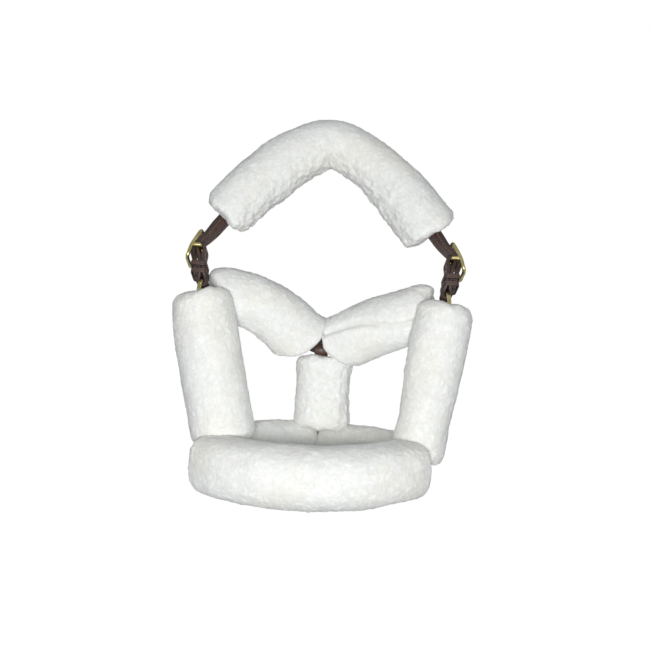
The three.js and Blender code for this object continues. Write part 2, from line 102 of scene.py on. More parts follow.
CHEEK_RING = centre_of("right_cheek_ring")
NOSE_RING = centre_of("right_noseband_ring")
LEAD_RING = centre_of("lead_ring")
THROAT_LOW = np.array((0, -35, -232)) * MM
RING_R = 20.5 * MM
WIRE_R = 2.5 * MM
STRAP_WIDTH = 25 * MM
EYE_WIDTH = 17 * MM
CROWN_RISE = 33 * MM
HEAD_TILT = math.atan2(-CHEEK_RING[1], CROWN_RISE - CHEEK_RING[2])
CROWN_T = math.hypot(CHEEK_RING[1], CROWN_RISE - CHEEK_RING[2])

X = np.array((1.0, 0, 0))
Y = np.array((0, 1.0, 0))
Z = np.array((0, 0, 1.0))
UP_PLANE = np.array((0, math.sin(HEAD_TILT), math.cos(HEAD_TILT)))
WIDE_PLANE = np.array((0, math.cos(HEAD_TILT), -math.sin(HEAD_TILT)))


def mirrored(point, side):
    return np.array((side * point[0], point[1], point[2]))


def in_plane(x, w, t):
    """A place in the headpiece's plane: x across, w wide, t up the plane, all in millimetres."""
    start = np.array((0, CHEEK_RING[1], CHEEK_RING[2]))
    return start + (x * X + w * WIDE_PLANE + t * UP_PLANE) * MM


# ---- numbers and noise


def size_of(v):
    return np.linalg.norm(v, axis=-1, keepdims=True)


def unit(v):
    return v / size_of(v)


def square_to(v, way):
    """What is left of v when its part along a unit direction is taken away."""
    return v - way * (v * way).sum(axis=-1, keepdims=True)


def loop_way(line):
    """The direction along a closed line at each of its points."""
    return unit(np.roll(line, -1, axis=0) - np.roll(line, 1, axis=0))


def around_circle(count):
    return np.linspace(0, 2 * math.pi, count, endpoint=False)


def angle_away(angle):
    """How far an angle is from zero, the shorter way round."""
    return np.abs((angle + math.pi) % (2 * math.pi) - math.pi)


def smooth(x, low, high):
    t = np.clip((x - low) / (high - low), 0, 1)
    return t * t * (3 - 2 * t)


def hashed(cell, seed):
    """A repeatable number from 0 to 1 for each whole-number cell."""
    n = cell[..., 0] * 73856093 ^ cell[..., 1] * 19349663 ^ cell[..., 2] * 83492791 ^ seed * 15485863
    n = n & 0xFFFFFFFF
    for _ in range(3):
        n = ((n ^ (n >> 16)) * 0x45D9F3B) & 0xFFFFFFFF
    return n / 0xFFFFFFFF


def noise(places, size, seed):
    """Smooth noise from -1 to 1, with features about size across."""
    q = places / size
    cell = np.floor(q).astype(np.int64)
    f = q - cell
    f = f * f * f * (f * (f * 6 - 15) + 10)
    total = 0
    for corner in itertools.product((0, 1), repeat=3):
        corner = np.array(corner)
        weight = np.where(corner, f, 1 - f).prod(axis=-1)
        total = total + weight * hashed(cell + corner, seed)
    return 2 * total - 1


def noise_vector(places, size, seed):
    return np.stack([noise(places, size, seed + k) for k in range(3)], axis=-1)


def locks(places, size, seed):
    """How far a place is into its lock of wool: 0 in the groove between two locks."""
    q = places / size
    cell = np.floor(q).astype(np.int64)
    nearest = np.full(q.shape[:-1], 9.0)
    second = nearest.copy()
    for step in itertools.product((-1, 0, 1), repeat=3):
        c = cell + np.array(step)
        point = c + np.stack([hashed(c, seed + k) for k in range(3)], axis=-1)
        d = np.linalg.norm(point - q, axis=-1)
        second = np.minimum(second, np.maximum(nearest, d))
        nearest = np.minimum(nearest, d)
    return np.clip(second - nearest, 0, 1)


# ---- routes


class Route:
    """A smooth line through points, with the directions across a strap that follows it."""

    def __init__(self, points, across, count=400):
        self.line = self.spline(np.array(points, float), count)
        steps = np.linalg.norm(np.diff(self.line, axis=0), axis=1)
        self.along = np.concatenate([[0], np.cumsum(steps)])
        self.length = self.along[-1]
        self.across = across

    @staticmethod
    def spline(points, count):
        """A centripetal Catmull-Rom curve."""
        p = np.vstack([2 * points[0] - points[1], points, 2 * points[-1] - points[-2]])
        places = []
        for u in np.linspace(0, len(points) - 1, count + 1):
            i = min(int(u), len(points) - 2)
            w = u - i
            p0, p1, p2, p3 = p[i : i + 4]
            d0, d1, d2 = (np.linalg.norm(b - a) ** 0.5 for a, b in ((p0, p1), (p1, p2), (p2, p3)))
            t1 = d1 * ((p1 - p0) / d0 - (p2 - p0) / (d0 + d1) + (p2 - p1) / d1)
            t2 = d1 * ((p2 - p1) / d1 - (p3 - p1) / (d1 + d2) + (p3 - p2) / d2)
            place_at = p1 + t1 * w + (3 * (p2 - p1) - 2 * t1 - t2) * w**2
            places.append(place_at + (2 * (p1 - p2) + t1 + t2) * w**3)
        return np.array(places)

    def at(self, s):
        """Places at distances s, which may run past either end in a straight line."""
        s = np.asarray(s, float)
        inside = np.stack([np.interp(s, self.along, self.line[:, k]) for k in range(3)], axis=-1)
        head = unit(self.line[1] - self.line[0])
        tail = unit(self.line[-1] - self.line[-2])
        before = np.minimum(s, 0)[..., None] * head
        after = np.maximum(s - self.length, 0)[..., None] * tail
        return inside + before + after

    def nearest(self, place):
        """The distance along the route at which it comes nearest to a place."""
        return self.along[np.argmin(np.linalg.norm(self.line - place, axis=1))]

    def frame(self, s):
        """Centre, direction along, direction across the strap, and direction off its face."""
        step = 0.8 * MM
        along = unit(self.at(s + step) - self.at(s - step))
        wide = self.across(np.clip(np.asarray(s) / self.length, 0, 1))
        wide = unit(square_to(wide, along))
        return self.at(s), along, wide, np.cross(along, wide)


def fixed(direction):
    return lambda share: np.broadcast_to(direction, np.shape(share) + (3,)).astype(float)


# The buckle, in the headpiece's plane: distance from the middle and height, in millimetres.
BAR_X, BAR_T = 153.5, 63
FRAME_TOP = (154.2, 84.2)
FRAME_LOW = (168, 47)
FRAME_MID_X = 163.6
RAIL_W = 17
TONGUE_CROSSING = (155.6, 75.2)  # where the tongue goes through the strap

HEADPIECE_HALF = (
    (156.4, 26), (158.3, 41), (161.2, 50.5), (163.3, 56.5), (164, 63), (161.2, 69.7), TONGUE_CROSSING,
    (149.8, 80.8), (143, 90), (135, 102), (109, 138.5), (80, 175), (42, 210),
)
TWIST = math.radians(14)  # of the strap where it hangs free between the sleeve and each buckle


def headpiece_across(share):
    """The strap's wide direction: square to its plane, and turned a little above each buckle."""
    out = np.minimum(share, 1 - share)
    turn = TWIST * np.sign(0.5 - share) * smooth(out, 0.10, 0.15) * (1 - smooth(out, 0.26, 0.33))
    return WIDE_PLANE * np.cos(turn)[..., None] - np.sin(turn)[..., None] * X


def headpiece_route(across=fixed(WIDE_PLANE)):
    right = [in_plane(x, 0, t) for x, t in HEADPIECE_HALF]
    left = [in_plane(-x, 0, t) for x, t in reversed(HEADPIECE_HALF)]
    return Route(right + [in_plane(0, 0, CROWN_T / MM)] + left, across, 900)


CHEEK_DOWN = unit((NOSE_RING - CHEEK_RING) * (0, 1, 1))
CHEEK_WIDE = unit(np.cross(CHEEK_DOWN, X))


def cheek_route(side):
    top = mirrored(CHEEK_RING + CHEEK_DOWN * RING_R, side)
    low = mirrored(NOSE_RING - CHEEK_DOWN * RING_R, side)
    return Route([top, (top + low) / 2, low], fixed(CHEEK_WIDE))


THROAT_LEAVE = math.radians(-8)
THROAT_SIDE = np.array((0, -math.sin(THROAT_LEAVE), math.cos(THROAT_LEAVE)))
THROAT_WIDE_LOW = unit(np.array((0, 0.94, 0.34)))
THROAT_RIGHT = ((125, -72, -176), (97, -61, -188), (66, -51, -201), (27, -39, -222))
THROAT_LEFT = ((-124, -71, -169), (-95, -61, -174), (-62, -50, -191), (-26, -39, -222))


def throat_eye(side):
    leave = np.array((0, math.cos(THROAT_LEAVE), math.sin(THROAT_LEAVE)))
    return mirrored(CHEEK_RING + leave * RING_R, side)


def throat_across(share):
    turn = smooth(1 - np.abs(2 * share - 1), 0.08, 0.9)[..., None]
    return THROAT_SIDE * (1 - turn) + THROAT_WIDE_LOW * turn


def throat_route():
    right, left = np.array(THROAT_RIGHT) * MM, np.array(THROAT_LEFT)[::-1] * MM
    return Route([throat_eye(1), *right, THROAT_LOW, *left, throat_eye(-1)], throat_across, 600)


def jaw_route():
    points = np.array(((0, -33, -238), (0, -36, -254), (0, -44, -318))) * MM
    return Route([*points, LEAD_RING + Z * RING_R], fixed(X))


def muzzle(degrees):
    angle = math.radians(degrees)
    x = NOSE_RING[0] * math.cos(angle)
    return np.array((x, NOSE_RING[1] + (LEAD_RING[1] - NOSE_RING[1]) * math.sin(angle), NOSE_RING[2]))


def noseband_route():
    front = [muzzle(a) for a in (-33, -50, -70, -90, -110, -130, -147)]
    start = NOSE_RING - Y * RING_R
    return Route([start, *front, mirrored(start, -1)], fixed(Z), 500)


def chin_route(side):
    points = [NOSE_RING + Y * RING_R, *(muzzle(a) for a in (33, 50, 66)), LEAD_RING + X * RING_R]
    return Route([mirrored(p, side) for p in points], fixed(Z))


# ---- meshes


def add_mesh(name, points, faces, material):
    """A new smooth-shaded object from arrays of points and of faces."""
    mesh = bpy.data.meshes.new(name)
    mesh.from_pydata([tuple(p) for p in np.asarray(points)], [], [tuple(f) for f in faces])
    mesh.validate()
    mesh.shade_smooth()
    mesh.materials.append(material)
    return add_object(name, mesh)


def apply_modifiers(obj):
    graph = bpy.context.evaluated_depsgraph_get()
    made = bpy.data.meshes.new_from_object(obj.evaluated_get(graph))
    obj.modifiers.clear()
    obj.data = made


def grid_faces(rows, columns, wrap_rows=False):
    """Quads of a tube whose rings are the rows of a grid, turned to face out."""
    i = np.arange(rows if wrap_rows else rows - 1)[:, None]
    j = np.arange(columns)[None, :]
    i2 = (i + 1) % rows
    j2 = (j + 1) % columns
    corners = [i * columns + j, i * columns + j2, i2 * columns + j2, i2 * columns + j]
    return np.stack([np.broadcast_to(c, (i.size, columns)) for c in corners], axis=-1).reshape(-1, 4)


def tube_faces(rows, columns, wrap_rows=False):
    """The faces of a tube, with a cap at each end unless its last ring meets its first."""
    faces = [tuple(f) for f in grid_faces(rows, columns, wrap_rows)]
    if wrap_rows:
        return faces
    last = (rows - 1) * columns
    return faces + [tuple(reversed(range(columns))), tuple(range(last, last + columns))]


def tube(name, rings, material, wrap_rows=False):
    """A closed tube through rings of points, an array (rings, points round, 3)."""
    faces = tube_faces(*rings.shape[:2], wrap_rows)
    obj = add_mesh(name, rings.reshape(-1, 3), faces, material)
    face_out(obj)
    return obj


def face_out(obj):
    """Turns every face if the closed mesh is inside out."""
    mesh = obj.data
    mesh.calc_loop_triangles()
    points = np.array([v.co for v in mesh.vertices])
    a, b, c = (points[[t.vertices[k] for t in mesh.loop_triangles]] for k in range(3))
    if (a * np.cross(b, c)).sum() < 0:
        mesh.flip_normals()


def join(name, objects):
    """One object of several closed ones."""
    with bpy.context.temp_override(active_object=objects[0], selected_editable_objects=objects):
        bpy.ops.object.join()
    objects[0].name = objects[0].data.name = name
    return objects[0]


def add_attribute(obj, name, values):
    """A number for each point of a mesh, for its material to read."""
    attribute = obj.data.attributes.new(name, "FLOAT", "POINT")
    attribute.data.foreach_set("value", values.reshape(-1).astype(np.float32))


def place(obj, body, slot, *nodes):
    """Gives a piece its body and hides the CAD nodes that it stands for. slot is not used."""
    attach(obj, body)
    if nodes:
        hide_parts(*nodes)
    return obj


# ---- materials


class Nodes:
    """Adds nodes to the tree of a material or of the world, and links them."""

    def __init__(self, owner):
        owner.use_nodes = True
        self.tree = owner.node_tree

    def add(self, kind, numbered=(), **values):
        """A new node. numbered is for the inputs that have to be named by their place."""
        node = self.tree.nodes.new("ShaderNode" + kind)
        for key, value in values.items():
            self.give(node, key, value)
        for place_in_node, value in numbered:
            self.feed(node.inputs[place_in_node], value)
        return node

    def give(self, node, key, value):
        if hasattr(node, key):
            setattr(node, key, value)
        else:
            self.feed(node.inputs[key.replace("_", " ")], value)

    def feed(self, socket, value):
        """Links a socket to another one, or sets its constant."""
        if isinstance(value, bpy.types.NodeSocket):
            self.tree.links.new(value, socket)
        else:
            socket.default_value = value


class Material(Nodes):
    """A material with one Principled shader."""

    def __init__(self, name):
        self.material = bpy.data.materials.new(name)
        super().__init__(self.material)
        self.shader = self.tree.nodes["Principled BSDF"]
        self.coords = self.add("TexCoord").outputs["Object"]

    def set(self, **values):
        for key, value in values.items():
            self.give(self.shader, key, value)

    def noise(self, scale, detail=2.0, roughness=0.5):
        node = self.add("TexNoise", Vector=self.coords, Scale=scale, Detail=detail, Roughness=roughness)
        return node.outputs["Fac"]

    def ramp(self, fac, stops):
        node = self.add("ValToRGB", Fac=fac)
        for element, (position, color) in zip(node.color_ramp.elements, stops):
            element.position = position
            element.color = (*color, 1)
        return node.outputs["Color"]

    def math(self, operation, a, b):
        return self.add("Math", ((0, a), (1, b)), operation=operation).outputs["Value"]

    def mix(self, fac, a, b, blend="MIX"):
        """Two colours mixed: a Mix node has its colour inputs at 6 and 7."""
        node = self.add("Mix", ((0, fac), (6, a), (7, b)), data_type="RGBA", blend_type=blend)
        return node.outputs[2]

    def bump(self, height, strength, distance):
        node = self.add("Bump", Height=height, Strength=strength, Distance=distance)
        self.set(Normal=node.outputs["Normal"])


def fleece_material():
    """Clean white pile, a little cream in broad patches, with painted shade where the pile lies low between
    the locks.
    """
    n = Material("fleece")
    pile = n.add("Attribute", attribute_name="pile").outputs["Fac"]
    blotch = n.ramp(n.noise(75, 3, 0.6), ((0.35, (0.885, 0.895, 0.875)), (0.65, (0.945, 0.955, 0.94))))
    cream = n.ramp(n.noise(13, 2), ((0.45, (1, 1, 1)), (0.75, (1.0, 0.985, 0.935))))
    color = n.mix(1.0, blotch, cream, "MULTIPLY")
    # Painted shade: the pile is greyed where it lies low, in the grooves between the locks and along the
    # seam.
    deep = n.ramp(pile, ((0.0, (0.90, 0.89, 0.87)), (0.45, (1, 1, 1))))
    n.set(Base_Color=n.mix(1.0, color, deep, "MULTIPLY"))
    n.set(Roughness=0.95, Sheen_Weight=0.15, Sheen_Roughness=0.6, Specular_IOR_Level=0.1)
    n.set(Subsurface_Weight=0.65, Subsurface_Radius=(1.0, 0.97, 0.92), Subsurface_Scale=0.006)
    fibres = n.math("ADD", n.noise(1100, 3, 0.7), n.math("MULTIPLY", n.noise(430, 3, 0.6), 1.2))
    n.bump(fibres, 0.3, 0.0008)
    return n.material


def leather_material():
    """Dark brown leather, its face a little red and lighter, partly its own tone and partly a painted
    reflection, with its cut edges dyed darker.
    """
    n = Material("leather")
    edge = n.add("Attribute", attribute_name="edge").outputs["Fac"]
    # The face's brown is the leather's own tone; its red, lighter lift is a painted reflection of light on
    # the smooth side.
    face = n.ramp(n.noise(60, 4, 0.6), ((0.3, (0.048, 0.024, 0.019)), (0.7, (0.105, 0.048, 0.034))))
    dyed = n.ramp(n.noise(90, 3, 0.6), ((0.3, (0.026, 0.016, 0.014)), (0.7, (0.062, 0.036, 0.030))))
    n.set(Base_Color=n.mix(edge, face, dyed))
    rough = n.ramp(n.noise(140, 3), ((0.3, (0.38,) * 3), (0.7, (0.55,) * 3)))
    n.set(Roughness=rough, Specular_IOR_Level=0.5, Coat_Weight=0.1, Coat_Roughness=0.3)
    cells = n.add("TexVoronoi", Vector=n.coords, Scale=1100.0, feature="F1").outputs["Distance"]
    grain = n.math("ADD", cells, n.math("MULTIPLY", n.noise(420, 4, 0.65), 1.2))
    n.bump(grain, 0.35, 0.0004)
    return n.material


def brass_material():
    n = Material("brass")
    tone = n.ramp(n.noise(90, 5, 0.65), ((0.3, (0.40, 0.33, 0.12)), (0.6, (0.72, 0.61, 0.29))))
    n.set(Base_Color=tone, Metallic=1.0)
    n.set(Roughness=n.ramp(n.noise(260, 4, 0.6), ((0.3, (0.18,) * 3), (0.75, (0.36,) * 3))))
    n.bump(n.noise(500, 3, 0.6), 0.08, 0.0003)
    return n.material


def thread_material():
    n = Material("thread")
    n.set(Base_Color=n.ramp(n.noise(500, 2), ((0.3, (0.20, 0.13, 0.08)), (0.7, (0.36, 0.26, 0.17)))))
    n.set(Roughness=0.7, Sheen_Weight=0.3)
    n.bump(n.noise(2600, 2), 0.3, 0.0002)
    return n.material


def tape_material():
    n = Material("tape")
    weave = n.add("TexWave", Vector=n.coords, Scale=420.0, Distortion=1.5, Detail=1.0).outputs["Fac"]
    n.set(Base_Color=n.ramp(weave, ((0.2, (0.72, 0.70, 0.65)), (0.8, (0.88, 0.87, 0.83)))))
    n.set(Roughness=0.85, Sheen_Weight=0.2)
    n.bump(weave, 0.4, 0.0004)
    return n.material


FLEECE = fleece_material()
LEATHER = leather_material()
BRASS = brass_material()
THREAD = thread_material()
TAPE = tape_material()

# ---- fleece sleeves

GRID = 3.9 * MM  # spacing of the mesh that the cloth simulation moves
FINE = 4  # how many times finer the finished pile is
SWELL = 5 * MM  # the most that the simulation may move a point
END_REACH = 34 * MM  # how far along a sleeve its end's tilt and raggedness reach
RAGGED = 3 * MM  # how uneven its ends are
RAGGED_SEED = 42
CLOTH_FRAMES = 20
CLOTH = {
    "quality": 6, "mass": 0.25, "tension_stiffness": 22, "compression_stiffness": 22,
    "shear_stiffness": 8, "bending_stiffness": 1.2, "use_pressure": True,
    "uniform_pressure_force": 4, "vertex_group_mass": "pin",
}
SEAM_DEPTH = 5 * MM
SEAM_SPREAD = 0.1  # radians of the section
MOUTH_HALF = (13.2 * MM, 4.2 * MM)  # half of the strap's width and thickness where it goes in


class Sleeve:
    """A fleece tube round a strap's route, with rounded ends that dip to the strap.

    radius, square and shift are stops at even steps along the tube: its radius in millimetres,
    how square its section is (2 is round) and how far its middle lies off the strap, also in
    millimetres. lean tilts each end, by the distance across the strap and off its face. seam is
    the side of the section where it closes, in degrees, and lip is the rounding of its ends.
    fray is (side of the section in degrees, reach in degrees, amount): where the pile is clumped.
    """

    def __init__(self, route, start, end, radius, shift=((0, 0, 0),), lean=((0, 0), (0, 0)),
                 square=(2,), seam=90, lip=11, fray=None):
        self.route = route
        self.start = start
        self.end = end
        self.radius = np.array(radius) * MM
        self.shift = np.array(shift, float) * MM
        self.lean = lean
        self.square = np.array(square, float)
        self.seam = math.radians(seam)
        self.lip = lip * MM
        self.fray = fray

    @staticmethod
    def along(stops, share):
        """The value of the stops at each share of the length."""
        if len(stops) == 1:
            return np.broadcast_to(stops[0], np.shape(share) + np.shape(stops[0]))
        at = np.linspace(0, 1, len(stops))
        if stops.ndim == 1:
            return np.interp(share, at, stops)
        return np.stack([np.interp(share, at, column) for column in stops.T], axis=-1)

    def profile(self):
        """Rows of (distance from the start, share of the full radius, share of the mouth)."""
        lip = self.lip / self.radius.mean()
        cap = [(6.5, 0.0, 1.0), (3.0, 0.10, 1.0), (0.8, 0.30, 0.9), (0.0, 0.50, 0.5)]
        rows = [(d * MM, r, m) for d, r, m in cap]
        for degrees in (10, 35, 60, 82):
            angle = math.radians(degrees)
            rows.append((self.lip * (1 - math.cos(angle)), 1 - lip + lip * math.sin(angle), 0.0))
        length = self.end - self.start
        count = int(round((length - 2 * self.lip) / GRID))
        middle = [(d, 1.0, 0.0) for d in np.linspace(self.lip, length - self.lip, count)]
        back = [(length - d, r, m) for d, r, m in reversed(rows)]
        return np.array(rows + middle + back)

    def grids(self):
        """The tube's points as it lies, and straightened out, both (rows, columns, 3)."""
        rows = self.profile()
        columns = 4 * int(round(2 * math.pi * self.radius.mean() / GRID / 4))
        angle = around_circle(columns)
        length = self.end - self.start
        share = rows[:, 0] / length
        radius = self.along(self.radius, share) * rows[:, 1]
        power = 2 / self.along(self.square, share)[:, None]
        mouth = rows[:, 2][:, None]
        around = radius[:, None] * (1 - mouth)
        half_w = around + mouth * np.maximum(MOUTH_HALF[0], 0.6 * radius[:, None])
        half_n = around + mouth * np.maximum(MOUTH_HALF[1], 0.6 * radius[:, None])
        w = half_w * np.sign(np.cos(angle)) * np.abs(np.cos(angle)) ** power
        n = half_n * np.sign(np.sin(angle)) * np.abs(np.sin(angle)) ** power
        near_start = (1 - smooth(rows[:, 0], 0, END_REACH))[:, None]
        near_end = (1 - smooth(length - rows[:, 0], 0, END_REACH))[:, None]
        (start_w, start_n), (end_w, end_n) = self.lean
        s = self.start + rows[:, 0][:, None]
        s = s + near_start * (start_w * w + start_n * n) + near_end * (end_w * w + end_n * n)
        ragged = noise(np.stack([w, n, s + 0 * w], axis=-1), 13 * MM, RAGGED_SEED)
        s = s + RAGGED * ragged * (near_start + near_end) * (1 - mouth)
        centre, _, wide, off = self.route.frame(s)
        aside = (self.along(self.shift, share) * (1 - 0.6 * mouth))[:, None]
        lying = centre + aside + wide * w[..., None] + off * n[..., None]
        straight = np.stack([w, n, np.broadcast_to(s, w.shape)], axis=-1)
        return lying, straight


def swell(grid, straight, pinned_rows, name):
    """Cloth under pressure: the tube creases where its route bends, and keeps its mean size."""
    rows, columns = grid.shape[:2]
    obj = tube(name + "_cloth", grid, FLEECE)
    obj.shape_key_add(name="lying")
    rest = obj.shape_key_add(name="straight")
    rest.data.foreach_set("co", straight.reshape(-1).astype(np.float32))
    rest.value = 0
    group = obj.vertex_groups.new(name="pin")
    held = [r * columns + c for r in pinned_rows for c in range(columns)]
    group.add([int(i) for i in held], 1.0, "REPLACE")
    cloth = obj.modifiers.new("cloth", "CLOTH")
    for key, value in CLOTH.items():
        setattr(cloth.settings, key, value)
    cloth.settings.rest_shape_key = rest
    cloth.settings.effector_weights.gravity = 0
    cloth.point_cache.frame_start = 1
    cloth.point_cache.frame_end = CLOTH_FRAMES
    scene = bpy.context.scene
    for number in range(1, CLOTH_FRAMES + 1):
        scene.frame_set(number)
    made = obj.evaluated_get(bpy.context.evaluated_depsgraph_get()).to_mesh()
    moved = np.empty(len(made.vertices) * 3, np.float32)
    made.vertices.foreach_get("co", moved)
    bpy.data.objects.remove(obj)
    scene.frame_set(1)
    step = moved.reshape(rows, columns, 3) - grid
    out = normals_of(grid)
    row = np.arange(rows)
    inside = smooth(np.minimum(row, rows - 1 - row), 2, 7)[:, None, None]
    step = step - out * inside * (step * out).sum(axis=-1).mean()
    return grid + step * np.minimum(1, SWELL / np.maximum(size_of(step), 1e-9))


def refined(grid, times, wrap):
    """The grid made finer along its first axis, on a cubic B-spline through its points."""
    count = len(grid)
    last = count if wrap else count - 1
    u = np.linspace(0, last, last * times + (0 if wrap else 1), endpoint=not wrap)
    cell = np.minimum(np.floor(u).astype(int), last - 1)
    f = (u - cell).reshape(-1, *[1] * (grid.ndim - 1))
    weights = ((1 - f) ** 3, 3 * f**3 - 6 * f**2 + 4, -3 * f**3 + 3 * f**2 + 3 * f + 1, f**3)
    total = 0
    for k, weight in enumerate(weights):
        index = cell + k - 1
        index = index % count if wrap else np.clip(index, 0, count - 1)
        total = total + weight / 6 * grid[index]
    return total


def normals_of(grid):
    """Outward directions of a tube's grid, wrapped along its second axis."""
    down = np.gradient(grid, axis=0)
    around = np.roll(grid, -1, axis=1) - np.roll(grid, 1, axis=1)
    out = np.cross(around, down)
    out = out / np.maximum(size_of(out), 1e-12)
    centre = grid.mean(axis=1, keepdims=True)
    middle = len(grid) // 2
    inward = (out[middle] * (grid[middle] - centre[middle])).sum() < 0
    return -out if inward else out


def wool(grid, seed, depth, clumps):
    """Sheepskin pile: soft locks of two sizes, clumped where it is frayed, and how deep each place lies."""
    out = normals_of(grid)
    warped = grid + 2.6 * MM * noise_vector(grid, 8 * MM, seed)
    big = smooth(locks(warped, 10 * MM, seed + 5), 0.0, 0.9)
    crinkled = warped + 1.2 * MM * noise_vector(grid, 3 * MM, seed + 9)
    small = smooth(locks(crinkled, 4.6 * MM, seed + 11), 0.0, 0.9)
    grain = ((2.1, 17), (1.3, 19), (30, 23), (13, 27), (10, 33), (5, 35))
    tips, fuzz, lump, dent, broad, narrow = (noise(grid, size * MM, seed + k) for size, k in grain)
    tips = 1 - np.abs(tips)
    tuft = 1.6 * broad + 1.1 * narrow
    height = 0.8 * lump + 0.5 * dent + 0.75 * big + 0.45 * small + 0.45 * tips * tips + 0.25 * fuzz - 1.4
    height = height + tuft * clumps
    curl = square_to(noise_vector(grid, 4.5 * MM, seed + 29), out)
    height = (height * MM * depth)[..., None]
    # High on the locks and low between them; the fleece material paints shade where it is low.
    pile = np.clip(0.35 * big + 0.4 * small + 0.25 * tips, 0, 1)
    return grid + out * height + curl * (0.7 * MM) * depth[..., None], pile


def frayed(turn, fray):
    """How clumped the pile is at each side of the section."""
    if fray is None:
        return np.zeros_like(turn)
    side, reach, amount = fray
    away = angle_away(turn - math.radians(side))
    return amount * (1 - smooth(away, 0.4 * math.radians(reach), math.radians(reach) + 1e-3))


def seam_groove(angle, seam, row):
    """How far the closing seam sinks in, by the side of the section and the place along it."""
    wander = 0.07 * np.sin(row / 9.0)[:, None] + 0.04 * np.sin(row / 3.7)[:, None]
    away = angle_away(angle[None, :] - seam - wander)
    return np.exp(-((away / SEAM_SPREAD) ** 2))


def add_fleece(part, body, sleeve, seed):
    """A finished sleeve: shaped, swelled as cloth, seamed and covered in pile."""
    name = part + "_fleece"
    grid, straight = sleeve.grids()
    rows = len(grid)
    grid = swell(grid, straight, [0, 1, 2, rows - 3, rows - 2, rows - 1], name)
    fine = refined(grid, FINE, wrap=False)
    fine = np.moveaxis(refined(np.moveaxis(fine, 1, 0), FINE, wrap=True), 0, 1)
    row = np.arange(len(fine)) / FINE
    edge = np.minimum(row, row[-1] - row)
    depth = np.broadcast_to(smooth(edge, 0.5, 4)[:, None], fine.shape[:2])
    turn = around_circle(fine.shape[1])
    groove = seam_groove(turn, sleeve.seam, row) * smooth(edge, 3, 8)[:, None]
    fine = fine - normals_of(fine) * (SEAM_DEPTH * groove)[..., None]
    shaped, pile = wool(fine, seed, depth, frayed(turn, sleeve.fray))
    # Painted shade along the seam: the groove lowers the pile value, which the fleece material darkens.
    pile = pile * (1 - 0.8 * groove)
    obj = tube(name, shaped, FLEECE)
    add_attribute(obj, "pile", pile)
    place(obj, body, "fleece", part + "_sleeve")


# ---- leather

LAYER = 3 * MM  # one thickness of leather
CHAPE_LAYER = 4.2 * MM
CORNER = 1.0 * MM  # rounding of its edges
CREASE = (1.7 * MM, 2.1 * MM, 2.5 * MM)  # the creased line beside each edge
CREASE_DEPTH = 0.35 * MM
EDGE_DYE = (0.8 * MM, 2.2 * MM)  # how far in from a cut edge the dye fades
EYE_TAPER = 16 * MM
FOLD_SPREAD = 13 * MM  # how far from a wire the two layers of a strap close up


def strap_section(half, layers=1):
    """A strap's outline as rows of (side, distance from that side's edge, height off its middle)."""
    near, deep, far = CREASE
    face = [(1, -CORNER, half), (1, -near, half), (1, -deep, half - CREASE_DEPTH), (1, -far, half)]
    top = face + [(0, 0, half + 0.1 * MM)] + [(-s, -d, n) for s, d, n in reversed(face)]
    tall = 2 * half / layers
    round_off = min(CORNER, 0.45 * tall)
    edge = []
    for k in range(layers):
        high = half - k * tall
        for start, face_at, way in ((120, high, -1), (180, high - tall, 1)):
            for degrees in (start, start + 30, start + 60):
                a = math.radians(degrees)
                inset = round_off * (1 + way * math.sin(a))
                edge.append((-1, round_off * (1 + math.cos(a)), face_at + way * inset))
        if k < layers - 1:
            edge.append((-1, round_off, high - tall))
    half_outline = top + edge
    return np.array(half_outline + [(-s, -d, -n) for s, d, n in half_outline])


def leather(name, rings, section, closed=True):
    """A strap through rings of points, with its cut edges marked for the leather's dye."""
    obj = tube(name, rings, LEATHER, wrap_rows=closed)
    near = 1 - smooth(np.abs(section[:, 1]), *EDGE_DYE)
    near = np.where(section[:, 0] == 0, 0.0, near)
    add_attribute(obj, "edge", np.tile(near, len(rings)))
    return obj


def strap_rings(centre, wide, off, half_width, section):
    """Rings of points for a strap from its stations and its section's outline."""
    w = section[:, 0] * half_width[:, None] + section[:, 1]
    return centre[:, None] + wide[:, None] * w[..., None] + off[:, None] * section[:, 2][:, None]


def ribbon_rings(line, wide, half_width, section):
    """Rings of points for a strap that closes on itself along a line."""
    return strap_rings(line, wide, np.cross(loop_way(line), wide), half_width, section)


def narrowed(d):
    """Half of a strap's width at distance d from the eye that it narrows to."""
    return (EYE_WIDTH + (STRAP_WIDTH - EYE_WIDTH) * smooth(d, 4 * MM, EYE_TAPER)) / 2


